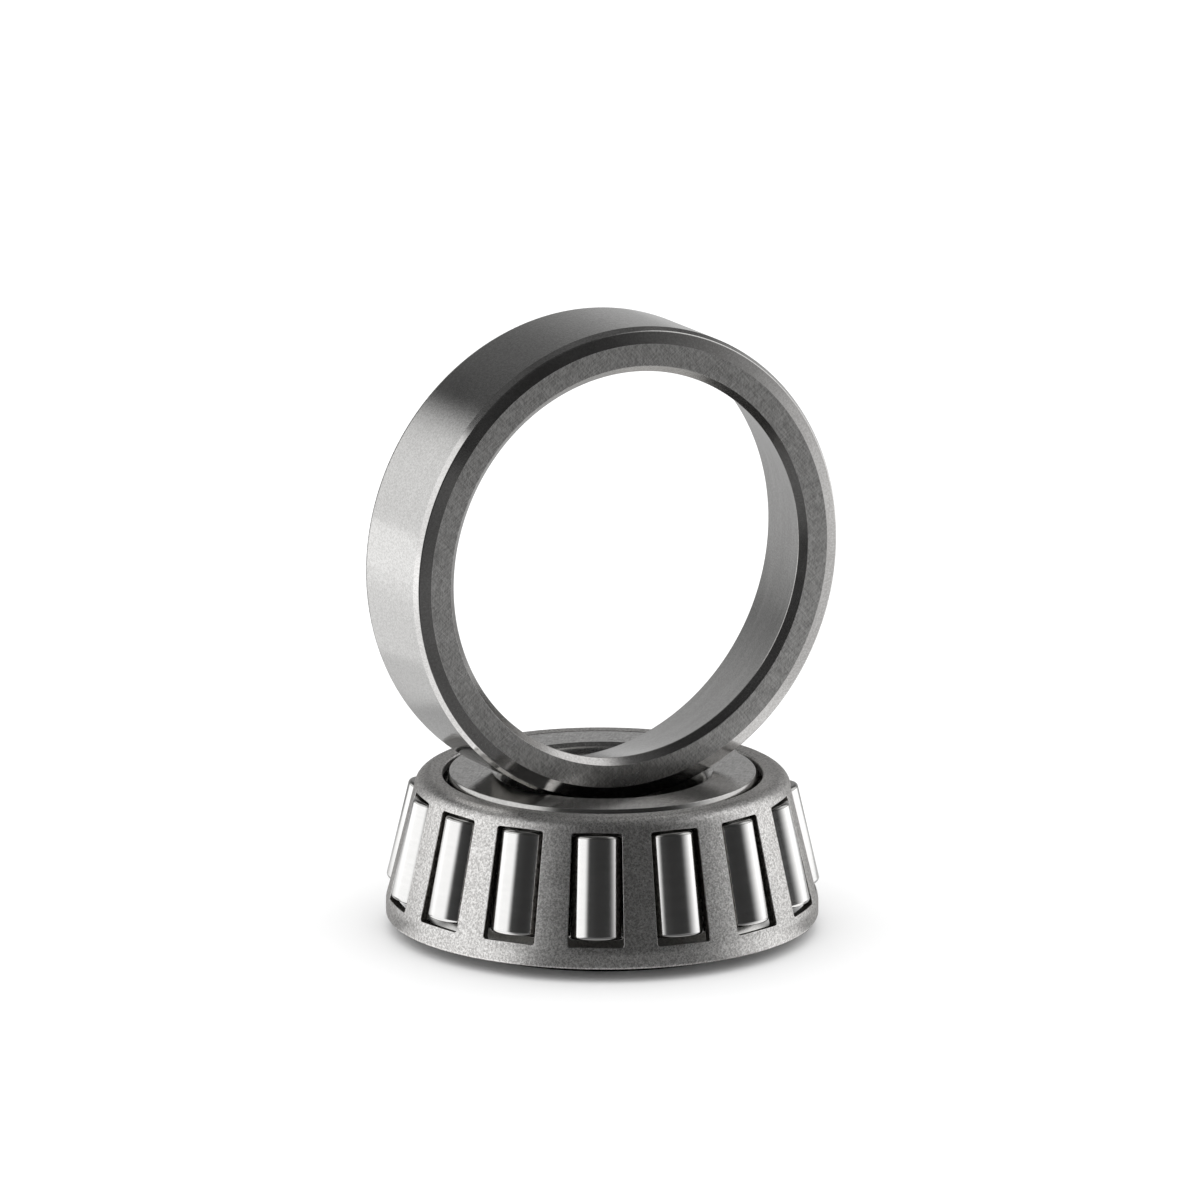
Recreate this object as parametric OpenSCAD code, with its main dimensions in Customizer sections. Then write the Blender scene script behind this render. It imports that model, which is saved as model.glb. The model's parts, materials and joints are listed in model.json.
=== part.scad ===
// Single-row tapered roller bearing, standing as its two separable halves:
// the cone assembly (inner ring, cage and rollers) on its back face, and the cup upright in the bore's mouth.
// The origin is the centre of the cone's back face, and +Z is the cone's axis.

/* [Boundary sizes] */
// Diameter of the cone's bore
bore_d = 25.4; // [24:0.1:26]
// Outer diameter of the cup
cup_od = 62; // [61:0.1:63]
// Width of the cone, from back face to front face
cone_w = 20.638; // [20.4:0.001:21]
// Width of the cup
cup_w = 14.288; // [14:0.001:14.6]
// Width of the bearing when the cup is seated
bearing_w = 19.05; // [18.8:0.01:19.3]

/* [Raceways and rollers] */
// Half-angle of the cup's raceway
cup_angle = 13; // [12.5:0.1:13.5]
// Radius of the cup's raceway, carried to the plane of the cup's back face
cup_race_r = 25; // [24.8:0.05:25.2]
// Number of rollers
roller_count = 15; // [12:1:15]
// Radius of a roller at the middle of its length
roller_r = 3.44; // [3.3:0.01:3.5]
// Length of a roller
roller_l = 13.3; // [12.5:0.1:13.4]
// Distance from the common apex to a roller's middle, along the roller's axis
roller_reach = 118.2; // [118.1:0.1:118.8]
// Direction of the first roller, from +X
roller_phase = -1; // [-12:1:12]
// Rounding of a roller's ends
roller_round = 0.45; // [0.2:0.05:0.6]
// Running gap between a roller and the cone
running_gap = 0.06; // [0.05:0.01:0.1]

/* [Cone] */
// Outer radius of the thrust rib, at the back face
back_rib_r = 23; // [22:0.1:24]
// Outer radius of the retaining rib, at the front face
front_rib_r = 19.9; // [19.5:0.1:20.1]
// Radial size of the bore's rounded mouth at the front face
mouth_r = 1.5; // [1:0.1:1.8]
// Axial size of the bore's rounded mouth at the front face
mouth_w = 2.6; // [2.6:0.1:3]
// Rounding of the bore's mouth at the back face
back_mouth_round = 0.8; // [0.5:0.1:1.2]
// Rounding of the front rib's edge
front_round = 0.6; // [0.3:0.1:0.8]
// Rounding of the back rib's edge
back_round = 1; // [0.5:0.1:1.2]
// Radius of the relief grooves beside the raceway
relief_r = 0.5; // [0.3:0.05:0.6]
// Gap between a roller's small end and the front rib
front_gap = 0.35; // [0.2:0.05:0.5]

/* [Cup] */
// Radial size of the rounded edge at the cup's back face
cup_edge_r = 1.83; // [1.4:0.01:2]
// Axial size of the rounded edge at the cup's back face
cup_edge_w = 1.45; // [1.2:0.01:1.8]
// Rounding of the cup's outer edge at its front face
cup_front_round = 0.9; // [0.5:0.1:1.2]
// Chamfer where the raceway meets the back face
cup_back_chamfer = 0.9; // [0.5:0.1:1]
// Axial size of the chamfer where the raceway meets the front face
cup_front_chamfer = 0.5; // [0.3:0.1:0.8]
// Radius of the cup's inner edge on the front face
cup_lip_r = 28.8; // [28.7:0.05:29]
// How far the upright cup reaches below the cone's front face
cup_sink = 2.5; // [2.2:0.05:2.5]

/* [Cage] */
// Thickness of the pressed sheet
cage_t = 1.3; // [1:0.1:1.4]
// Half-angle of the cage's outer surface
cage_angle = 13.7; // [13.5:0.1:14]
// Outer radius at the bottom of the windows
cage_r = 27.64; // [27.5:0.01:27.7]
// Height of the bottom of the windows
window_low = 4.62; // [4.6:0.01:4.85]
// Height of the top of the windows
window_high = 18.7; // [18.3:0.01:18.7]
// Half-width of a window at its bottom
window_low_half = 3.58; // [3.55:0.01:3.65]
// Half-width of a window at its top
window_high_half = 3.2; // [3.18:0.01:3.25]
// Rounding of a window's corners
window_round = 0.35; // [0.3:0.05:0.8]
// Outer radius of the cage's bottom band
rim_r = 27.85; // [27.8:0.05:28]
// Height of the bottom of the cage
rim_z = 1.7; // [1.6:0.01:2.2]
// Rounding of the bottom edges
rim_round = 0.4; // [0.2:0.1:0.5]
// Height of the cage's top
lip_z = 20.4; // [20.3:0.05:20.5]
// Radius of the opening in the cage's top
lip_r = 20.6; // [20.4:0.05:20.8]
// Rounding of the opening's edges
lip_round = 0.35; // [0.2:0.05:0.5]
// Outer radius of the bend between the top and the side
shoulder_round = 2; // [1.8:0.1:2.8]

/* [Hidden] */
$fn = 96;
// Pieces to a quarter turn of a rounded edge
STEPS = 8;

bore_r = bore_d / 2;
cup_r = cup_od / 2;
cup_z = cone_w - cup_sink + cup_r;
// The raceways and every roller's axis meet at this height on the cone's axis
apex_z = bearing_w + cup_race_r / tan(cup_angle);
roller_taper = atan(roller_r / roller_reach);
roller_angle = cup_angle - roller_taper;
roller_small_s = roller_reach - roller_l / 2;
roller_large_s = roller_reach + roller_l / 2;

// Windows are punched square to the sloping side
window_slope = (window_high - window_low) / cos(cage_angle);
window_mid_z = (window_low + window_high) / 2;

function two_digits(i) = str(i < 10 ? "0" : "", i);
function roller_name(i) = str("roller_", two_digits(i));

// Points along an arc, with radius rx in the first direction and ry in the second
function arc(x, y, rx, ry, from, to) =
    let (n = ceil(abs(to - from) / 90 * STEPS))
    [for (i = [0:n]) let (a = from + (to - from) * i / n) [x + rx * cos(a), y + ry * sin(a)]];
function round_arc(x, y, r, from, to) = arc(x, y, r, r, from, to);

// A point beside a roller's axis: s from the apex along the axis, q outwards from it
function beside_roller(s, q) = [
    s * sin(roller_angle) + q * cos(roller_angle),
    apex_z - s * cos(roller_angle) + q * sin(roller_angle)
];
function roller_r_at(s) = s * tan(roller_taper);
// Where the cone's raceway passes, below the roller by the running gap
function race_q(s) = -roller_r_at(s) - running_gap;
// The part of a relief groove's circle that lies in the metal
function relief(s, from, to) =
    let (n = ceil((to - from) / 30))
    [for (i = [0:n]) let (a = from + (to - from) * i / n)
        beside_roller(s + relief_r * sin(a), race_q(s) + relief_r * cos(a))];
// The outer end of a rib's face, which lies across the roller's axis at s
function rib_face_end(s, r) =
    beside_roller(s, (r - s * sin(roller_angle)) / cos(roller_angle));

function cone_outline() =
    let (
        back_s = roller_large_s + running_gap,
        front_s = roller_small_s - front_gap
    )
    concat(
        round_arc(bore_r + back_mouth_round, back_mouth_round, back_mouth_round, 180, 270),
        round_arc(back_rib_r - back_round, back_round, back_round, -90, 0),
        [rib_face_end(back_s, back_rib_r)],
        relief(back_s, 0, 270),
        relief(front_s, 90, 360),
        [rib_face_end(front_s, front_rib_r)],
        round_arc(front_rib_r - front_round, cone_w - front_round, front_round, 0, 90),
        arc(bore_r + mouth_r, cone_w - mouth_w, mouth_r, mouth_w, 90, 180)
    );

module cone() {
    color("silver")
        rotate_extrude()
            polygon(cone_outline());
}

// Radius of the cup's raceway at a distance from its back face
function cup_race_at(w) = cup_race_r + w * tan(cup_angle);

// Radius first, then distance from the back face
function cup_outline() = concat(
    [[cup_race_at(cup_back_chamfer) + cup_back_chamfer, 0]],
    arc(cup_r - cup_edge_r, cup_edge_w, cup_edge_r, cup_edge_w, -90, 0),
    round_arc(cup_r - cup_front_round, cup_w - cup_front_round, cup_front_round, 0, 90),
    [
        [cup_lip_r, cup_w],
        [cup_race_at(cup_w - cup_front_chamfer), cup_w - cup_front_chamfer],
        [cup_race_at(cup_back_chamfer), cup_back_chamfer]
    ]
);

// The cup stands on its rim across the bore, with its back face towards -Y
module cup() {
    color("gainsboro")
        translate([0, -cup_w / 2, cup_z])
            rotate([-90, 0, 0])
                rotate_extrude()
                    polygon(cup_outline());
}

// Height at which the cage's outer surface, moved in by t, reaches a radius
function cage_height(r, t) = window_low - (r - cage_r + t / cos(cage_angle)) / tan(cage_angle);

function cage_outline() =
    let (
        bend_z = lip_z - shoulder_round,
        // The bend touches the sloping side and the flat top
        bend_r = cage_r + (window_low - bend_z) * tan(cage_angle) - shoulder_round / cos(cage_angle),
        inner_bend = shoulder_round - cage_t,
        rim_in = rim_r - cage_t
    )
    concat(
        round_arc(rim_r - rim_round, rim_z + rim_round, rim_round, -90, 0),
        [[rim_r, cage_height(rim_r, 0)]],
        round_arc(bend_r, bend_z, shoulder_round, cage_angle, 90),
        round_arc(lip_r + lip_round, lip_z - lip_round, lip_round, 90, 180),
        round_arc(lip_r + lip_round, lip_z - cage_t + lip_round, lip_round, 180, 270),
        round_arc(bend_r, bend_z, inner_bend, 90, cage_angle),
        [[rim_in, cage_height(rim_in, cage_t)]],
        round_arc(rim_in + rim_round, rim_z + rim_round, rim_round, 180, 270)
    );

// One window, drawn with its top towards -X and its length along the sloping side
module window_outline() {
    end = window_slope / 2 - window_round;
    low = window_low_half - window_round;
    high = window_high_half - window_round;
    polygon(concat(
        round_arc(end, low, window_round, 90, 0),
        round_arc(end, -low, window_round, 0, -90),
        round_arc(-end, -high, window_round, -90, -180),
        round_arc(-end, high, window_round, 180, 90)
    ));
}

module window_cut() {
    mid_r = cage_r + (window_low - window_mid_z) * tan(cage_angle);
    translate([mid_r, 0, window_mid_z])
        rotate([0, 90 - cage_angle, 0])
            linear_extrude(height = 4 * cage_t, center = true)
                window_outline();
}

// Turns its child to each roller's place
module at_roller(i) {
    rotate([0, 0, roller_phase + (i - 1) * 360 / roller_count])
        children();
}

module cage() {
    color("darkgray")
        difference() {
            rotate_extrude()
                polygon(cage_outline());
            for (i = [1:roller_count])
                at_roller(i) window_cut();
        }
}

// A roller's outline, with its axis upright and its small end at the top
module roller_outline() {
    end = roller_l / 2 - roller_round;
    low = roller_r_at(roller_reach + end) - roller_round;
    high = roller_r_at(roller_reach - end) - roller_round;
    polygon(concat(
        [[0, -roller_l / 2]],
        round_arc(low, -end, roller_round, -90, 0),
        round_arc(high, end, roller_round, 0, 90),
        [[0, roller_l / 2]]
    ));
}

module roller(i) {
    middle = beside_roller(roller_reach, 0);
    color("whitesmoke")
        at_roller(i)
            translate([middle[0], 0, middle[1]])
                rotate([0, -roller_angle, 0])
                    rotate_extrude()
                        roller_outline();
}

cone();
cage();
cup();
for (i = [1:roller_count])
    roller(i);
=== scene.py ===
"""A tapered roller bearing with its loose cup stood upright on it, lit and framed as in a studio.

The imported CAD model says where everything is. The cup, the cone, the cage and the rollers are
finer meshes of the same shapes, turned or pressed here at their CAD nodes' places.
Lengths are in millimetres until a mesh is made, and angles are in degrees, except where said.
"""

import json
import math

import bpy
import numpy as np
from mathutils import Matrix, Vector


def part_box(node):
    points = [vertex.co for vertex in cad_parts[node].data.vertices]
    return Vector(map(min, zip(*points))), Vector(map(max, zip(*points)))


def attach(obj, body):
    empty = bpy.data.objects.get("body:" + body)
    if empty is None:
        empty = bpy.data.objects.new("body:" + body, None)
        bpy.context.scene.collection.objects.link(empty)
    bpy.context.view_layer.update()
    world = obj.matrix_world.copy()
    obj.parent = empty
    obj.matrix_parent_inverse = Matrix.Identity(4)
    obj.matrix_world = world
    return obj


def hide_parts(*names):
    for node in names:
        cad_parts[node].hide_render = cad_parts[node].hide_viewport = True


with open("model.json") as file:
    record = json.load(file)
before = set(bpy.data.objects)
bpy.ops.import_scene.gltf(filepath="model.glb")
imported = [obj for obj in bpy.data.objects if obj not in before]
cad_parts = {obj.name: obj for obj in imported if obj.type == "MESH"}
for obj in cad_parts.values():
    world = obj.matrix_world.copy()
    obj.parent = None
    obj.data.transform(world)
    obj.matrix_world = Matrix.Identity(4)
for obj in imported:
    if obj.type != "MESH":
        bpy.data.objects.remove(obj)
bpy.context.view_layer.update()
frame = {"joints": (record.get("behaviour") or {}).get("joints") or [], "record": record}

MM = 0.001


def size_of(node):
    """(lowest corner, highest corner) of a CAD node, in millimetres."""
    low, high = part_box(node)
    return low / MM, high / MM


def degrees(function, angle):
    return function(math.radians(angle))


ROLLER_JOINTS = [joint for joint in frame["joints"] if joint["name"].startswith("roller_spin")]
FIRST_ROLLER = next(joint for joint in ROLLER_JOINTS if joint["name"] == "roller_spin_01")


# ---------------------------------------------------------------- camera

CAMERA_AZIMUTH = -29.28
CAMERA_ELEVATION = 14.08
CAMERA_DISTANCE = 1696.6
CAMERA_ROLL = 0.185
LENS = 403.9
SENSOR = 36.0
# Where the camera looks: height above the floor, and offset to its right
AIM_HEIGHT = 44.39
AIM_RIGHT = -1.63


def make_camera():
    """A long lens on the side where the cup's back face shows."""
    flat = degrees(math.cos, CAMERA_ELEVATION)
    toward = Vector(
        (
            degrees(math.sin, CAMERA_AZIMUTH) * flat,
            -degrees(math.cos, CAMERA_AZIMUTH) * flat,
            degrees(math.sin, CAMERA_ELEVATION),
        )
    )
    right = Vector((degrees(math.cos, CAMERA_AZIMUTH), degrees(math.sin, CAMERA_AZIMUTH), 0))
    up = toward.cross(right)
    turn = Matrix.Rotation(math.radians(CAMERA_ROLL), 3, toward)
    place = Vector((0, 0, AIM_HEIGHT)) + AIM_RIGHT * right + CAMERA_DISTANCE * toward
    matrix = Matrix((turn @ right, turn @ up, toward)).transposed().to_4x4()
    matrix.translation = place * MM
    data = bpy.data.cameras.new("camera")
    data.lens = LENS
    data.sensor_width = SENSOR
    data.clip_start = 0.1
    data.clip_end = 20
    camera = bpy.data.objects.new("camera", data)
    bpy.context.scene.collection.objects.link(camera)
    camera.matrix_world = matrix
    bpy.context.scene.camera = camera


# ---------------------------------------------------------------- node trees


class Graph:
    """Shorthands for building a node tree."""

    def __init__(self, tree):
        self.tree = tree
        tree.nodes.clear()

    def node(self, kind, inputs=None, **settings):
        node = self.tree.nodes.new(kind)
        for name, value in settings.items():
            setattr(node, name, value)
        for name, value in (inputs or {}).items():
            self.feed(node.inputs[name], value)
        return node

    def feed(self, socket, value):
        if isinstance(value, bpy.types.NodeSocket):
            self.tree.links.new(value, socket)
        else:
            socket.default_value = value

    def math(self, operation, a, b=0.0, clamp=False):
        return self.node(
            "ShaderNodeMath", {0: a, 1: b}, operation=operation, use_clamp=clamp
        ).outputs[0]

    def vector(self, operation, a, b):
        name = "Scale" if operation == "SCALE" else 1
        node = self.node("ShaderNodeVectorMath", {0: a, name: b}, operation=operation)
        return node.outputs["Vector"]

    def step(self, value, low, high, to_low=0.0, to_high=1.0):
        """A smooth change from to_low to to_high as value goes from low to high."""
        inputs = {
            "Value": value,
            "From Min": low,
            "From Max": high,
            "To Min": to_low,
            "To Max": to_high,
        }
        return self.node("ShaderNodeMapRange", inputs, interpolation_type="SMOOTHSTEP").outputs[0]

    def noise(self, vector, scale, detail=2.0, roughness=0.5, w=None):
        inputs = {"Vector": vector, "Scale": scale, "Detail": detail, "Roughness": roughness}
        if w is not None:
            inputs["W"] = w
        dimensions = "3D" if w is None else "4D"
        return self.node("ShaderNodeTexNoise", inputs, noise_dimensions=dimensions).outputs[0]

    def mix(self, factor, a, b):
        """The colour between a and b. Sockets go by number: a mix's names repeat for each type."""
        return self.node("ShaderNodeMix", {0: factor, 6: a, 7: b}, data_type="RGBA").outputs[2]


# ---------------------------------------------------------------- studio

# Two tall panels stand on the table, with a pale sheet behind the object. Azimuths are in degrees
# from the front of the studio, positive to its right. The steel sees the panels in a dark room
FRONT = -29.28
LEFT_STRENGTH, RIGHT_STRENGTH, SHEET_STRENGTH = 1.2, 1.25, 0.48
DARK_ROOM = 0.028
DOME = 1.6
# Azimuths where each panel begins to show and where it shows in full, at either end
LEFT_FAR_END, LEFT_NEAR_END = (-139, -125), (-33, -56)
RIGHT_NEAR_END, RIGHT_FAR_END = (54, 110), (144, 128)
SHEET_END = (135, 157)
# The room isn't quite black beside the panels: azimuths, and how bright it is at each
LEFT_SPILL, RIGHT_SPILL = (10, -70, 0, 0.05), (40, 95, 0, 0.07)
# Elevations of the panels' tops. The left panel's far end is the lower one
LEFT_RISE, LEFT_TOP_SOFTNESS = (-112, -88, 31, 47), (-3, 3)
RIGHT_TOP, SHEET_TOP = (58, 48), (42, 2)


def around(g, azimuth):
    """How brightly the left panel, the right panel, the sheet and the room show at an azimuth."""
    left = g.math(
        "MULTIPLY",
        g.step(azimuth, *LEFT_FAR_END),
        g.step(azimuth, *LEFT_NEAR_END, 0, LEFT_STRENGTH),
    )
    right = g.math(
        "MULTIPLY",
        g.step(azimuth, *RIGHT_NEAR_END),
        g.step(azimuth, *RIGHT_FAR_END, 0, RIGHT_STRENGTH),
    )
    behind = g.step(g.math("ABSOLUTE", azimuth), *SHEET_END, 0, SHEET_STRENGTH)
    spill = g.math("ADD", g.step(azimuth, *LEFT_SPILL), g.step(azimuth, *RIGHT_SPILL))
    return left, right, behind, g.math("ADD", spill, DARK_ROOM)


def studio_polar(g, vector):
    """The azimuth in the studio of a place or direction, in degrees, and its height."""
    turned = g.node(
        "ShaderNodeVectorRotate",
        {"Vector": vector, "Angle": math.radians(90 - FRONT)},
        rotation_type="Z_AXIS",
    ).outputs[0]
    xyz = g.node("ShaderNodeSeparateXYZ", {0: turned}).outputs
    return g.math("DEGREES", g.math("ARCTAN2", xyz["Y"], xyz["X"])), xyz["Z"]


def make_world():
    """Steel reflects the panels in a dark room; the floor is lit by an even dome."""
    world = bpy.data.worlds.new("studio")
    bpy.context.scene.world = world
    world.use_nodes = True
    g = Graph(world.node_tree)
    azimuth, height = studio_polar(g, g.node("ShaderNodeTexCoord").outputs["Generated"])
    elevation = g.math("DEGREES", g.math("ARCSINE", height))
    left, right, behind, room = around(g, azimuth)
    below_top = g.math("SUBTRACT", g.step(azimuth, *LEFT_RISE), elevation)
    left = g.math("MULTIPLY", left, g.step(below_top, *LEFT_TOP_SOFTNESS))
    right = g.math("MULTIPLY", right, g.step(elevation, *RIGHT_TOP))
    behind = g.math("MULTIPLY", behind, g.step(elevation, *SHEET_TOP))
    strength = g.node("ShaderNodeMix", data_type="FLOAT")
    g.feed(strength.inputs[0], g.node("ShaderNodeLightPath").outputs["Is Glossy Ray"])
    g.feed(strength.inputs[2], DOME)
    mirrored = g.math("ADD", g.math("ADD", left, right), g.math("ADD", behind, room))
    g.feed(strength.inputs[3], mirrored)
    background = g.node("ShaderNodeBackground", {"Strength": strength.outputs[0]})
    g.node("ShaderNodeOutputWorld", {"Surface": background.outputs[0]})


FLOOR_HALF = 6.0
FLOOR_TONE = 0.95
# The table as the steel sees it is painted light and shade, an emission seen only in reflections.
# Each row is two distances from the middle of the object, in metres, and then the value at each
TABLE_SHARE = (0.05, 0.30, 0.68, 1.0)
TURNED_ROUND = (0.03, 0.10, 1.7, 1.0)
FROM_ABOVE = (0.05, 0.20, 0.11, 0.01)
RIM_GLOW = (0.0305, 0.0290, 0, 0.35)
# Painted shadow: the table under the object shows black in reflections
SHADOW_UNDERNEATH = (0.0270, 0.0282, 0, 1)
# A pool of light to the right of the front: its two sides by azimuth, and its two ends
POOL_LEFT, POOL_RIGHT = (15, 48), (90, 50)
POOL_NEAR, POOL_FAR = (0.085, 0.14), (0.34, 0.15, 0.14, 0.60)
# The light behind the left panel's far end
PATCH_FRONT, PATCH_BACK = (-88, -108), (-150, -118, 0.30, 0.80)
PATCH_NEAR, PATCH_FAR = (0.045, 0.062), (0.13, 0.10)


def make_floor():
    """A white table. In reflections it is an emission of painted light: bright beside the panels
    and dark in front.
    """
    signs = ((-1, -1), (1, -1), (1, 1), (-1, 1))
    corners = [(x * FLOOR_HALF, y * FLOOR_HALF, 0) for x, y in signs]
    mesh = bpy.data.meshes.new("floor")
    mesh.from_pydata(corners, [], [(0, 1, 2, 3)])
    floor = bpy.data.objects.new("floor", mesh)
    bpy.context.scene.collection.objects.link(floor)
    material = bpy.data.materials.new("floor")
    material.use_nodes = True
    g = Graph(material.node_tree)
    place = g.node("ShaderNodeTexCoord").outputs["Object"]
    away = g.node("ShaderNodeVectorMath", {0: place}, operation="LENGTH").outputs["Value"]
    # Beside the object a patch of table is lit from further round than it lies
    lies = studio_polar(g, place)[0]
    azimuth = g.math("MULTIPLY", lies, g.step(away, *TURNED_ROUND))
    left, right, behind, room = around(g, azimuth)
    lit = g.math("ADD", g.math("ADD", left, right), g.math("ADD", behind, room))
    # Painted light: the table close by shows as lit from above too, and most to the right of the
    # front
    near = g.step(away, *FROM_ABOVE)
    right_front = g.math("MULTIPLY", g.step(azimuth, *POOL_LEFT), g.step(azimuth, *POOL_RIGHT))
    pool = g.math("MULTIPLY", g.step(away, *POOL_NEAR), g.step(away, *POOL_FAR))
    near = g.math("ADD", near, g.math("MULTIPLY", right_front, pool))
    # Painted glow on the table just outside the rim
    near = g.math("ADD", near, g.step(away, *RIM_GLOW))
    lit = g.math("ADD", g.math("MULTIPLY", lit, g.step(away, *TABLE_SHARE)), near)
    # The left panel still lights the table behind its far end
    patch = g.math("MULTIPLY", g.step(lies, *PATCH_FRONT), g.step(lies, *PATCH_BACK))
    patch = g.math("MULTIPLY", patch, g.step(away, *PATCH_NEAR))
    lit = g.math("MAXIMUM", lit, g.math("MULTIPLY", patch, g.step(away, *PATCH_FAR)))
    # Painted shadow under the object
    lit = g.math("MULTIPLY", lit, g.step(away, *SHADOW_UNDERNEATH))
    mirrored = g.node("ShaderNodeEmission", {"Strength": lit}).outputs[0]
    white = (FLOOR_TONE, FLOOR_TONE, FLOOR_TONE, 1)
    seen = g.node("ShaderNodeBsdfDiffuse", {"Color": white}).outputs[0]
    glossy = g.node("ShaderNodeLightPath").outputs["Is Glossy Ray"]
    both = g.node("ShaderNodeMixShader", {0: glossy, 1: seen, 2: mirrored}).outputs[0]
    g.node("ShaderNodeOutputMaterial", {"Surface": both})
    mesh.materials.append(material)


# ---------------------------------------------------------------- steel


def steel(name):
    """An empty steel material: (its graph, its shader)."""
    material = bpy.data.materials.new(name)
    material.use_nodes = True
    g = Graph(material.node_tree)
    shader = g.node("ShaderNodeBsdfPrincipled")
    shader.inputs["Metallic"].default_value = 1.0
    g.node("ShaderNodeOutputMaterial", {"Surface": shader.outputs[0]})
    return material, g, shader


def millimetres(g):
    """The place on the piece, in millimetres from its middle."""
    return g.vector("SCALE", g.node("ShaderNodeTexCoord").outputs["Object"], 1 / MM)


def tone_between(g, shader, factor, dark, light):
    """Shades the steel between two greys, each (red, green, blue)."""
    g.feed(shader.inputs["Base Color"], g.mix(factor, (*dark, 1), (*light, 1)))


def bump(g, shader, height, depth_mm):
    inputs = {"Height": height, "Distance": depth_mm * MM, "Strength": 1.0}
    g.feed(shader.inputs["Normal"], g.node("ShaderNodeBump", inputs).outputs[0])


def ground_steel(name, roughness, lay, lay_length, lined, depth, anisotropy, dark, light):
    """Steel ground round its axis: lay is the lines to a millimetre, lay_length their length in mm.

    lined is the lines' share of the marks; the rest is an even grain. depth is in millimetres.
    """
    material, g, shader = steel(name)
    place = millimetres(g)
    run = g.node("ShaderNodeSeparateXYZ", {0: g.node("ShaderNodeUVMap").outputs[0]}).outputs["Y"]
    lines = g.noise(place, 1 / lay_length, 3.0, 0.6, w=g.math("MULTIPLY", run, lay))
    cloud = g.noise(place, 0.12, 3.0, 0.55)
    grain = g.noise(place, 3.6, 3.0, 0.75)
    marks = g.math("ADD", g.math("MULTIPLY", lines, lined), g.math("MULTIPLY", grain, 1 - lined))
    tone_between(g, shader, g.step(marks, 0.38, 0.62), dark, light)
    spread = g.math("MULTIPLY", g.math("SUBTRACT", cloud, 0.5), 0.12)
    wear = g.math("MULTIPLY", g.math("SUBTRACT", lines, 0.5), 0.3 * lined)
    g.feed(
        shader.inputs["Roughness"],
        g.math("ADD", g.math("ADD", spread, wear), roughness, clamp=True),
    )
    shader.inputs["Anisotropic"].default_value = anisotropy
    tangent = g.node("ShaderNodeTangent", direction_type="UV_MAP").outputs[0]
    g.feed(shader.inputs["Tangent"], tangent)
    bump(g, shader, marks, depth)
    return material


def scratched_steel(name, roughness, dark, light):
    """The ground faces: fine marks that cross each other in three directions."""
    material, g, shader = steel(name)
    place = millimetres(g)
    marks = None
    for turn, stretch in ((35, 9.0), (-50, 7.0), (80, 11.0)):
        turned = g.node(
            "ShaderNodeVectorRotate",
            {"Vector": place, "Angle": math.radians(turn)},
            rotation_type="Z_AXIS",
        ).outputs[0]
        thin = g.vector("MULTIPLY", turned, (1.0, stretch, 1.0))
        cut = g.noise(thin, 0.62, 3.0, 0.75)
        marks = cut if marks is None else g.math("ADD", marks, cut)
    marks = g.math("DIVIDE", marks, 3.0)
    cloud = g.noise(place, 0.2, 3.0, 0.5)
    tone_between(g, shader, g.step(marks, 0.40, 0.60), dark, light)
    rough = g.math("ADD", roughness, g.math("MULTIPLY", cloud, 0.14))
    g.feed(shader.inputs["Roughness"], rough)
    bump(g, shader, marks, 0.02)
    return material


def pressed_steel():
    """The cage: sheet steel tumbled to a fine, even grain."""
    material, g, shader = steel("pressed_steel_grain")
    place = millimetres(g)
    grain = g.noise(place, 2.9, 3.0, 0.75)
    pits = g.noise(place, 5.2, 2.0, 0.6)
    cloud = g.noise(place, 0.25, 3.0, 0.5)
    marks = g.math("ADD", g.math("MULTIPLY", grain, 0.6), g.math("MULTIPLY", pits, 0.4))
    tone_between(g, shader, g.step(marks, 0.38, 0.64), (0.48, 0.47, 0.46), (1.0, 0.99, 0.975))
    rough = g.math("ADD", 0.32, g.math("MULTIPLY", cloud, 0.12))
    g.feed(shader.inputs["Roughness"], rough)
    shader.inputs["Specular Tint"].default_value = (0.62, 0.61, 0.60, 1)
    bump(g, shader, marks, 0.05)
    return material


def cut_steel(name, roughness, dark, light):
    """Steel left as the punch cut it, or as tumbling then wore its corners. The near black given to
    the cut walls is painted shade.
    """
    material, g, shader = steel(name)
    torn = g.noise(g.vector("MULTIPLY", millimetres(g), (3.0, 3.0, 1.2)), 1.5, 3.0, 0.65)
    tone_between(g, shader, g.step(torn, 0.35, 0.65), dark, light)
    shader.inputs["Roughness"].default_value = roughness
    return material


def polished_steel():
    """The rollers: superfinished, with faint lines round them."""
    material, g, shader = steel("polished_steel_roller")
    place = millimetres(g)
    run = g.node("ShaderNodeSeparateXYZ", {0: g.node("ShaderNodeUVMap").outputs[0]}).outputs["Y"]
    lines = g.noise(place, 0.25, 3.0, 0.6, w=g.math("MULTIPLY", run, 7.0))
    tone_between(g, shader, lines, (0.84, 0.835, 0.825), (0.95, 0.945, 0.935))
    rough = g.math("ADD", 0.10, g.math("MULTIPLY", lines, 0.10))
    g.feed(shader.inputs["Roughness"], rough)
    bump(g, shader, lines, 0.0015)
    return material


TURNED_DARK, TURNED_LIGHT = (0.5, 0.495, 0.485), (0.62, 0.615, 0.6)


# ---------------------------------------------------------------- turned shapes

# Largest angle between neighbouring points of a rounded corner
ARC_STEP = 9.0


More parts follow.
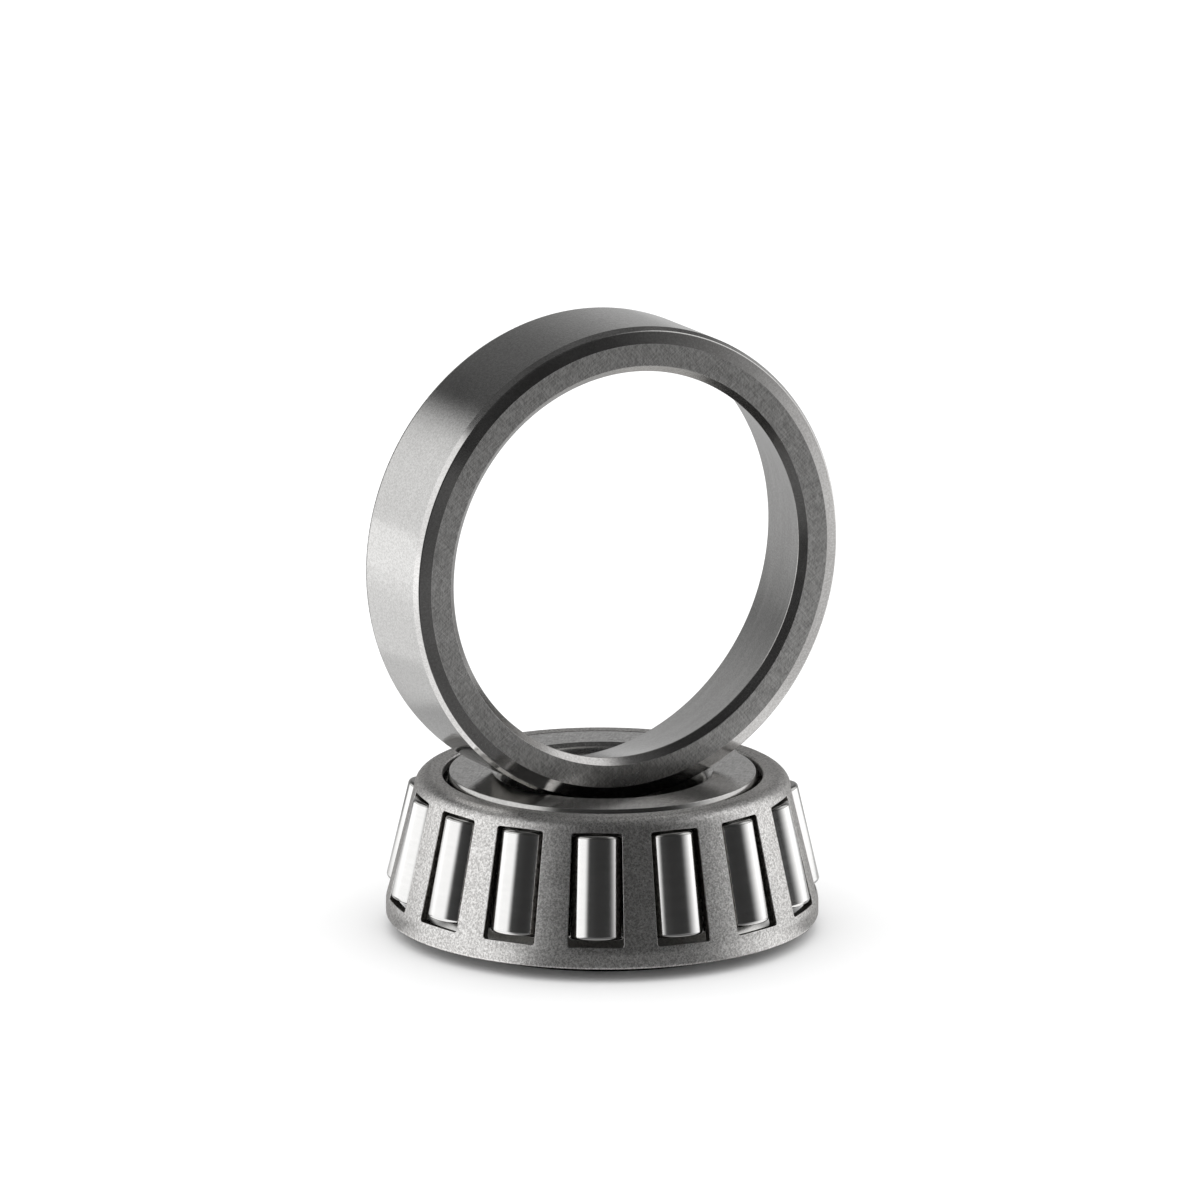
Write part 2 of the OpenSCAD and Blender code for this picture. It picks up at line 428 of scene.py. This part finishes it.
def outline(corners, closed=True):
    """A smooth outline through corners of (radius, height, rounding, finish).

    It runs with the metal on its left. Returns its points, their outward normals, the distance
    run to each, and the finish of the stretch after each. An open outline's ends aren't rounded.
    """
    points, normals, finishes = [], [], []
    count = len(corners)
    for i, (r, z, rounding, finish) in enumerate(corners):
        here = np.array((r, z), float)
        is_end = not closed and i in (0, count - 1)
        back = here - np.array(corners[i - 1][:2], float)
        on = np.array(corners[(i + 1) % count][:2], float) - here
        if is_end:
            along = on if i == 0 else back
            along /= np.linalg.norm(along)
            points.append(here)
            normals.append(np.array((along[1], -along[0])))
            finishes.append(finish)
            continue
        back /= np.linalg.norm(back)
        on /= np.linalg.norm(on)
        turn = math.atan2(back[0] * on[1] - back[1] * on[0], float(back @ on))
        reach = rounding * math.tan(abs(turn) / 2)
        side = math.copysign(1.0, turn)
        centre = here - back * reach + side * rounding * np.array((-back[1], back[0]))
        steps = max(1, math.ceil(abs(math.degrees(turn)) / ARC_STEP))
        start = math.atan2(-back[0], back[1])
        for k in range(steps + 1):
            angle = start + turn * k / steps
            normal = np.array((math.cos(angle), math.sin(angle)))
            points.append(centre + side * rounding * normal)
            normals.append(normal)
            finishes.append(finish)
    points = np.array(points)
    loop = np.vstack((points, points[:1])) if closed else points
    run = np.concatenate(([0.0], np.cumsum(np.linalg.norm(np.diff(loop, axis=0), axis=1))))
    return points, np.array(normals), run, finishes


def revolve(profile, angles, closed=True):
    """Turns an outline about Z through the angles: (vertices, normals, faces, uvs, finishes)."""
    points, normals, run, finishes = profile
    turns, count = len(angles), len(points)
    c, s = np.cos(angles)[:, None], np.sin(angles)[:, None]
    vertices = np.stack((c * points[:, 0], s * points[:, 0], np.ones_like(c) * points[:, 1]), 2)
    outward = np.stack((c * normals[:, 0], s * normals[:, 0], np.ones_like(c) * normals[:, 1]), 2)
    faces, uvs, slots = [], [], []
    for i in range(turns):
        u0, u1 = i / turns, (i + 1) / turns
        this, after = i * count, (i + 1) % turns * count
        for j in range(count if closed else count - 1):
            k = (j + 1) % count
            faces.append((this + j, after + j, after + k, this + k))
            uvs.append(((u0, run[j]), (u1, run[j]), (u1, run[j + 1]), (u0, run[j + 1])))
            slots.append(finishes[j])
    return vertices.reshape(-1, 3), outward.reshape(-1, 3), faces, uvs, slots


def mesh_object(name, vertices, normals, faces, uvs, slots, materials):
    """A smooth mesh object from millimetre vertices and their exact normals."""
    mesh = bpy.data.meshes.new(name)
    mesh.from_pydata((vertices * MM).tolist(), [], faces)
    layer = mesh.uv_layers.new(name="UVMap")
    layer.data.foreach_set("uv", np.array([uv for face in uvs for uv in face]).ravel())
    for material in materials:
        mesh.materials.append(material)
    mesh.polygons.foreach_set("material_index", slots)
    mesh.polygons.foreach_set("use_smooth", [True] * len(faces))
    mesh.update()
    mesh.normals_split_custom_set_from_vertices(normals.tolist())
    made = bpy.data.objects.new(name, mesh)
    bpy.context.scene.collection.objects.link(made)
    return made


def full_turn(segments):
    return np.linspace(0, 2 * math.pi, segments, endpoint=False)


def stands_for(piece, node, place):
    """Puts the piece in place, on its node's body, instead of the CAD node."""
    piece.matrix_world = place
    body = next(b for b, nodes in frame["record"]["behaviour"]["bodies"].items() if node in nodes)
    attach(piece, body)
    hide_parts(node)


# ---------------------------------------------------------------- cup

CUP_SEGMENTS = 288
RACE_SLOPE = degrees(math.tan, 13.0)
# Radius of the raceway, carried to the plane of the back face, and of the front face's inner edge
RACE_R, FRONT_INNER_R = 25.0, 28.8
RACE_BACK_CHAMFER, RACE_FRONT_CHAMFER = 0.9, 0.5
# The back face's outer edge falls away in two steps, measured inwards and deep from the corner
EDGE_IN, EDGE_DEEP = 2.03, 1.15
BEND_IN, BEND_DEEP = 0.45, 0.35


def make_cup():
    """The outer ring, turned from its back face, which looks towards -Y."""
    low, high = size_of("cup")
    width = high.y - low.y
    outer = (high.x - low.x) / 2
    face, edge, outside, raceway, painted_highlight = range(5)

    def race_at(w):
        return RACE_R + w * RACE_SLOPE

    corners = (
        (race_at(RACE_BACK_CHAMFER) + RACE_BACK_CHAMFER, 0, 0.12, face),
        (outer - EDGE_IN, 0, 0.15, edge),
        # The facet from the bend to the outside is toned lighter: a painted highlight along the
        # outer edge
        (outer - BEND_IN, BEND_DEEP, 0.25, painted_highlight),
        (outer, EDGE_DEEP, 0.15, outside),
        (outer, width, 0.9, face),
        (FRONT_INNER_R, width, 0.12, edge),
        (race_at(width - RACE_FRONT_CHAMFER), width - RACE_FRONT_CHAMFER, 0.15, raceway),
        (race_at(RACE_BACK_CHAMFER), RACE_BACK_CHAMFER, 0.15, edge),
    )
    materials = (
        scratched_steel("ground_face_cup", 0.22, (0.26, 0.255, 0.25), (0.56, 0.555, 0.545)),
        ground_steel(
            "cup_edge", roughness=0.14, lay=3.0, lay_length=8.0, lined=0.3, depth=0.001,
            anisotropy=0.0, dark=(0.50, 0.49, 0.48), light=(0.64, 0.63, 0.62),
        ),
        ground_steel(
            "cup_outside", roughness=0.15, lay=4.0, lay_length=2.5, lined=0.12, depth=0.003,
            anisotropy=0.0, dark=(0.51, 0.505, 0.495), light=(0.66, 0.655, 0.645),
        ),
        ground_steel(
            "cup_raceway", roughness=0.2, lay=5.0, lay_length=8.0, lined=0.3, depth=0.002,
            anisotropy=0.2, dark=(0.48, 0.475, 0.465), light=(0.62, 0.615, 0.605),
        ),
        # Lighter tones for a painted highlight on the facet by the outside
        ground_steel(
            "cup_edge_painted_highlight", roughness=0.15, lay=3.0, lay_length=8.0, lined=0.3, depth=0.001,
            anisotropy=0.0, dark=(0.63, 0.62, 0.61), light=(0.80, 0.79, 0.78),
        ),
    )
    parts = revolve(outline(corners), full_turn(CUP_SEGMENTS))
    cup = mesh_object("cup_ring", *parts, materials)
    middle = (low + high) / 2
    place = Matrix.Translation(Vector((middle.x, low.y, middle.z)) * MM)
    upright = Matrix.Rotation(math.radians(-90), 4, "X")
    stands_for(cup, "cup", place @ upright)


# ---------------------------------------------------------------- rollers

ROLLER_SEGMENTS = 72
ROLLER_LENGTH = 13.3
ROLLER_MIDDLE_R = 3.44
# Distance along a roller's axis from the apex, where all the axes meet, to its middle
ROLLER_REACH = 118.2
# The shallow dimple turned in each end: its radius in the large and the small one, and its depth
DIMPLE_LARGE_R, DIMPLE_SMALL_R, DIMPLE_DEPTH = 1.5, 1.4, 0.12


def roller_r(s):
    """Radius of a roller at distance s from the apex."""
    return ROLLER_MIDDLE_R * s / ROLLER_REACH


def make_rollers():
    """Each roller lies on its joint's axis, with its small end up."""
    half = ROLLER_LENGTH / 2
    large, small = roller_r(ROLLER_REACH + half), roller_r(ROLLER_REACH - half)
    side, end = range(2)
    corners = (
        (0.5, -half + DIMPLE_DEPTH, 0, end),
        (1.3, -half + DIMPLE_DEPTH, 0.15, end),
        (DIMPLE_LARGE_R, -half, 0.15, end),
        (large, -half, 0.45, side),
        (small, half, 0.45, end),
        (DIMPLE_SMALL_R, half, 0.15, end),
        (1.2, half - DIMPLE_DEPTH, 0.15, end),
        (0.5, half - DIMPLE_DEPTH, 0, end),
    )
    materials = (
        polished_steel(),
        ground_steel(
            "roller_end", roughness=0.22, lay=5.0, lay_length=4.0, lined=0.6, depth=0.003,
            anisotropy=0.3, dark=TURNED_DARK, light=TURNED_LIGHT,
        ),
    )
    profile = outline(corners, closed=False)
    turned = revolve(profile, full_turn(ROLLER_SEGMENTS), closed=False)
    vertices, normals, faces, uvs, slots = turned
    count = len(profile[0])
    rings = [i * count for i in range(ROLLER_SEGMENTS)]
    caps = (tuple(reversed(rings)), tuple(v + count - 1 for v in rings))
    for cap in caps:
        faces.append(cap)
        uvs.append([(0, 0)] * len(cap))
        slots.append(end)
    for joint in ROLLER_JOINTS:
        node = joint["child"]
        tilt = Vector((0, 0, 1)).rotation_difference(Vector(joint["axis"]))
        turn = np.array(tilt.to_matrix())
        placed = vertices @ turn.T + np.array(joint["pos_m"]) / MM
        roller = mesh_object(
            node + "_steel", placed, normals @ turn.T, faces, uvs, slots, materials
        )
        stands_for(roller, node, Matrix.Identity(4))


# ---------------------------------------------------------------- cone

CONE_SEGMENTS = 240
BORE_R = 12.7
BACK_RIB_R, FRONT_RIB_R = 23.0, 19.9
# Gaps between a roller and the raceway or thrust rib, and the retaining rib
RUNNING_GAP, FRONT_GAP = 0.06, 0.35
# The grooves where the raceway meets the ribs: half their width, and their depth
RELIEF, RELIEF_DEPTH = 0.5, 0.35
# The retaining rib's chamfer on the front face
CHAMFER_R, CHAMFER_W = 0.22, 0.62
# The rounded mouth of the bore, and the share of it that its middle corner cuts off
MOUTH_R, MOUTH_W, MOUTH_CORNER = 1.5, 2.6, 0.29


def make_cone():
    """The inner ring, whose raceway and ribs follow the rollers."""
    width = size_of("cone")[1].z
    axis = FIRST_ROLLER["axis"]
    tilt = math.degrees(math.acos(axis[2]))
    apex = FIRST_ROLLER["pos_m"][2] / MM + ROLLER_REACH * axis[2]

    def beside(s, q):
        """Distance s from the apex along a roller's axis, then q outwards from it."""
        return (
            s * degrees(math.sin, tilt) + q * degrees(math.cos, tilt),
            apex - s * degrees(math.cos, tilt) + q * degrees(math.sin, tilt),
        )

    def rib_face(s, r):
        return beside(s, (r - s * degrees(math.sin, tilt)) / degrees(math.cos, tilt))

    def under(s):
        return -roller_r(s) - RUNNING_GAP

    back = ROLLER_REACH + ROLLER_LENGTH / 2 + RUNNING_GAP
    front = ROLLER_REACH - ROLLER_LENGTH / 2 - FRONT_GAP
    face, edge, race = range(3)
    corners = (
        (BORE_R, 0, 0.8, face),
        (BACK_RIB_R, 0, 1.0, edge),
        (*rib_face(back, BACK_RIB_R), 0.15, race),
        (*beside(back, under(back) + RELIEF), 0.1, race),
        (*beside(back + RELIEF_DEPTH, under(back)), 0.3, race),
        (*beside(back, under(back) - RELIEF_DEPTH), 0.3, race),
        (*beside(back - RELIEF, under(back - RELIEF)), 0.1, race),
        (*beside(front + RELIEF, under(front + RELIEF)), 0.1, race),
        (*beside(front, under(front) - RELIEF_DEPTH), 0.3, race),
        (*beside(front - RELIEF_DEPTH, under(front)), 0.3, race),
        (*beside(front, under(front) + RELIEF), 0.1, race),
        (*rib_face(front, FRONT_RIB_R), 0.12, edge),
        (FRONT_RIB_R, width - CHAMFER_W, 0.2, edge),
        (FRONT_RIB_R - CHAMFER_R, width, 0.12, face),
        (BORE_R + MOUTH_R, width, 0.4, face),
        (BORE_R + MOUTH_R * MOUTH_CORNER, width - MOUTH_W * MOUTH_CORNER, 1.6, race),
        (BORE_R, width - MOUTH_W, 0.8, race),
    )
    materials = (
        scratched_steel("ground_face_cone", 0.06, (0.42, 0.415, 0.405), (0.78, 0.77, 0.755)),
        ground_steel(
            "cone_edge", roughness=0.14, lay=3.0, lay_length=8.0, lined=0.4, depth=0.002,
            anisotropy=0.1, dark=TURNED_DARK, light=TURNED_LIGHT,
        ),
        ground_steel(
            "cone_bore", roughness=0.26, lay=6.0, lay_length=12.0, lined=0.7, depth=0.003,
            anisotropy=0.5, dark=TURNED_DARK, light=TURNED_LIGHT,
        ),
    )
    parts = revolve(outline(corners), full_turn(CONE_SEGMENTS))
    cone = mesh_object("cone_ring", *parts, materials)
    stands_for(cone, "cone", Matrix.Identity(4))


# ---------------------------------------------------------------- cage

# The same sizes as in the CAD source: the sheet's thickness, the windows' heights and half-widths,
# and the outside radius at the bottom of the windows
CAGE_ANGLE = 13.7
SHEET = 1.3
WINDOW_LOW, WINDOW_HIGH = 4.62, 18.7
WINDOW_LOW_HALF, WINDOW_HIGH_HALF = 3.58, 3.2
WINDOW_ROUND = 0.35
CAGE_R = 27.64
RIM_R, LIP_R = 27.85, 20.6
RIM_ROUND, LIP_ROUND, SHOULDER_ROUND = 0.4, 0.35, 2.0
# Rounding of the punched edges
PUNCH_ROUND = 0.08
# Bare side below and above a window, before the bends begin
MARGIN_BELOW, MARGIN_ABOVE = 0.45, 0.15
# Steps round a window: in half a corner, along its ends and along its sides
CORNER_STEPS, END_STEPS, SIDE_STEPS = 3, 10, 10
# Rings of faces from a window to the edge of its share of the side
RINGS = 3

SIN_A, COS_A = degrees(math.sin, CAGE_ANGLE), degrees(math.cos, CAGE_ANGLE)
MID_Z = (WINDOW_LOW + WINDOW_HIGH) / 2
MID_R = CAGE_R + (WINDOW_LOW - MID_Z) * SIN_A / COS_A
HALF_SLOPE = (WINDOW_HIGH - WINDOW_LOW) / COS_A / 2


def side_point(x, azimuth, depth):
    """Points of the sloping side, x down the slope from the windows' middle, at a depth in it."""
    r = MID_R + x * SIN_A - depth * COS_A
    z = MID_Z - x * COS_A - depth * SIN_A
    return np.stack((r * np.cos(azimuth), r * np.sin(azimuth), z), -1)


def side_normal(azimuth):
    return np.stack((COS_A * np.cos(azimuth), COS_A * np.sin(azimuth), SIN_A + 0 * azimuth), -1)


def under_punch(x, y, depth):
    """(x, azimuth) at a depth in the side, straight in from x and y on a window's flat drawing."""
    slide = np.array(x, float)
    for _ in range(5):
        r = MID_R + slide * SIN_A - depth * COS_A
        azimuth = np.arcsin(y / r)
        flat_x = (r * np.cos(azimuth) - MID_R) * SIN_A - (-slide * COS_A - depth * SIN_A) * COS_A
        slide += x - flat_x
    return slide, azimuth


def window_loop():
    """A window's outline, once round from its lower corner at -Y, and normals into the metal."""
    corners = (
        (HALF_SLOPE, -WINDOW_LOW_HALF, -90),
        (HALF_SLOPE, WINDOW_LOW_HALF, 0),
        (-HALF_SLOPE, WINDOW_HIGH_HALF, 90),
        (-HALF_SLOPE, -WINDOW_HIGH_HALF, 180),
    )
    arcs = []
    for x, y, start in corners:
        centre = np.array((x - math.copysign(WINDOW_ROUND, x), y - math.copysign(WINDOW_ROUND, y)))
        angles = np.radians(np.linspace(start, start + 90, 2 * CORNER_STEPS + 1))
        normals = np.stack((np.cos(angles), np.sin(angles)), 1)
        arcs.append((centre + WINDOW_ROUND * normals, normals))
    points, normals = [], []
    for i, (arc, arc_normals) in enumerate(arcs):
        after, _ = arcs[(i + 1) % 4]
        steps = END_STEPS if i % 2 == 0 else SIDE_STEPS
        points += list(arc[CORNER_STEPS:])
        normals += list(arc_normals[CORNER_STEPS:])
        for k in range(1, steps):
            points.append(arc[-1] + (after[0] - arc[-1]) * k / steps)
            normals.append(arc_normals[-1])
        points += list(after[:CORNER_STEPS])
        normals += list(arcs[(i + 1) % 4][1][:CORNER_STEPS])
    return np.array(points), np.array(normals)


def cell_loop(half_turn):
    """The edge of a window's share of the side, as (x, azimuth), matched to window_loop()."""
    ends = END_STEPS + 2 * CORNER_STEPS
    sides = SIDE_STEPS + 2 * CORNER_STEPS
    low, high = HALF_SLOPE + MARGIN_BELOW, -HALF_SLOPE - MARGIN_ABOVE
    across = np.arange(ends) / ends * 2 - 1
    down = np.arange(sides) / sides
    rise = (high - low) * down
    x = np.concatenate((np.full(ends, low), low + rise, np.full(ends, high), high - rise))
    turn = np.concatenate((across, np.ones(sides), -across, -np.ones(sides)))
    return x, turn * half_turn


def window_cell(half_turn):
    """One window and the metal round it: rings of (points, normals), from outside to inside."""
    points, into = window_loop()
    edge_x, edge_turn = cell_loop(half_turn)
    rings = []

    def surface_rings(depth, facing, order):
        x, turn = under_punch(*(points + into * PUNCH_ROUND).T, depth)
        for share in order:
            ring_x = x + (edge_x - x) * share
            ring_turn = turn + (edge_turn - turn) * share
            rings.append((side_point(ring_x, ring_turn, depth), facing * side_normal(ring_turn)))

    def edge_rings(depth_at, facing, order):
        for angle in order:
            grow = PUNCH_ROUND * (1 - degrees(math.sin, angle))
            sink = PUNCH_ROUND * (1 - degrees(math.cos, angle))
            x, turn = under_punch(*(points + into * grow).T, depth_at(sink))
            wall = np.stack((-into[:, 0] * SIN_A, -into[:, 1], into[:, 0] * COS_A), 1)
            face = facing * side_normal(turn)
            normal = face * degrees(math.cos, angle) + wall * degrees(math.sin, angle)
            rings.append((side_point(x, turn, depth_at(sink)), normal))

    shares = [k / RINGS for k in range(RINGS, -1, -1)]
    surface_rings(0.0, 1, shares)
    edge_rings(lambda sink: sink, 1, (45, 90))
    edge_rings(lambda sink: SHEET - sink, -1, (90, 45))
    surface_rings(SHEET, -1, shares[::-1])
    return rings


# Finish between each ring of a window cell and the next: face, worn corner or cut wall, whose near
# black tone is painted shade
FACE, CORNER, WALL = range(3)
RING_FINISH = [FACE] * RINGS + [CORNER] * 2 + [WALL] + [CORNER] * 2 + [FACE] * RINGS


def join_rings(rings):
    """Faces between neighbouring closed rings: (vertices, normals, faces, finish of each face)."""
    count = len(rings[0][0])
    vertices = np.concatenate([points for points, _ in rings])
    normals = np.concatenate([normal for _, normal in rings])
    faces = []
    for i in range(len(rings) - 1):
        for j in range(count):
            k = (j + 1) % count
            a, b = i * count, (i + 1) * count
            faces.append((a + j, a + k, b + k, b + j))
    return vertices, normals, faces, [finish for finish in RING_FINISH for _ in range(count)]


def weld(parts):
    """Joins (vertices, normals, faces, finishes) parts where their vertices coincide."""
    vertices, normals, faces, finishes, start = [], [], [], [], 0
    for part_vertices, part_normals, part_faces, part_finishes in parts:
        finishes += list(part_finishes)
        vertices.append(part_vertices)
        normals.append(part_normals)
        faces += [tuple(start + v for v in face) for face in part_faces]
        start += len(part_vertices)
    vertices = np.concatenate(vertices)
    normals = np.concatenate(normals)
    rounded = np.round(vertices, 4)
    _, first, same = np.unique(rounded, axis=0, return_index=True, return_inverse=True)
    same = same.ravel()
    faces = [tuple(int(same[v]) for v in face) for face in faces]
    return vertices[first], normals[first], faces, finishes


def make_cage():
    """The pressed cage: windows all round, between a bottom band and a bent-in top."""
    low, high = size_of("cage")
    rim_z, lip_z = low.z, high.z
    windows = len(ROLLER_JOINTS)
    half_turn = math.pi / windows
    first = Vector(FIRST_ROLLER["pos_m"])
    phase = math.atan2(first.y, first.x)

    def meridian(x, depth):
        return MID_R + x * SIN_A - depth * COS_A, MID_Z - x * COS_A - depth * SIN_A

    def height_at(r, depth):
        """Height where the sloping side, at a depth, reaches radius r."""
        x = (r - MID_R + depth * COS_A) / SIN_A
        return meridian(x, depth)[1]

    def radius_at(z, depth):
        x = (MID_Z - z - depth * SIN_A) / COS_A
        return meridian(x, depth)[0]

    cell_x = cell_loop(half_turn)[0]
    below, above = cell_x.max(), cell_x.min()
    rim_in = RIM_R - SHEET
    band = (
        (*meridian(below, SHEET), 0, FACE),
        (rim_in, height_at(rim_in, SHEET), 1.5, FACE),
        (rim_in, rim_z, RIM_ROUND, FACE),
        (RIM_R, rim_z, RIM_ROUND, FACE),
        (RIM_R, height_at(RIM_R, 0), 3.0, FACE),
        (*meridian(below, 0), 0, FACE),
    )
    top = (
        (*meridian(above, 0), 0, FACE),
        (radius_at(lip_z, 0), lip_z, SHOULDER_ROUND, FACE),
        (LIP_R, lip_z, LIP_ROUND, FACE),
        (LIP_R, lip_z - SHEET, LIP_ROUND, FACE),
        (radius_at(lip_z - SHEET, SHEET), lip_z - SHEET, SHOULDER_ROUND - SHEET, FACE),
        (*meridian(above, SHEET), 0, FACE),
    )
    steps = END_STEPS + 2 * CORNER_STEPS
    angles = phase - half_turn + full_turn(windows * steps)
    parts = []
    for half in (band, top):
        vertices, normals, faces = revolve(outline(half, closed=False), angles, closed=False)[:3]
        parts.append((vertices, normals, faces, [FACE] * len(faces)))
    vertices, normals, faces, finishes = join_rings(window_cell(half_turn))
    for i in range(windows):
        angle = phase + i * 2 * half_turn
        c, s = math.cos(angle), math.sin(angle)
        turn = np.array(((c, s, 0), (-s, c, 0), (0, 0, 1)))
        parts.append((vertices @ turn, normals @ turn, faces, finishes))
    vertices, normals, faces, finishes = weld(parts)
    uvs = [[tuple(vertices[v][:2] / 60 + 0.5) for v in face] for face in faces]
    materials = (
        pressed_steel(),
        cut_steel("cage_rubbed_corner", 0.22, (0.62, 0.61, 0.60), (0.98, 0.97, 0.95)),
        # The cut walls are toned near black: painted shade in the gaps round the rollers
        cut_steel("cage_cut_wall_painted_shade", 0.45, (0.05, 0.045, 0.04), (0.20, 0.19, 0.175)),
    )
    cage = mesh_object("cage_pressing", vertices, normals, faces, uvs, finishes, materials)
    stands_for(cage, "cage", Matrix.Identity(4))


# ---------------------------------------------------------------- the scene

make_camera()
make_world()
make_floor()
make_cup()
make_cone()
make_rollers()
make_cage()

view = bpy.context.scene.view_settings
view.view_transform = "Standard"
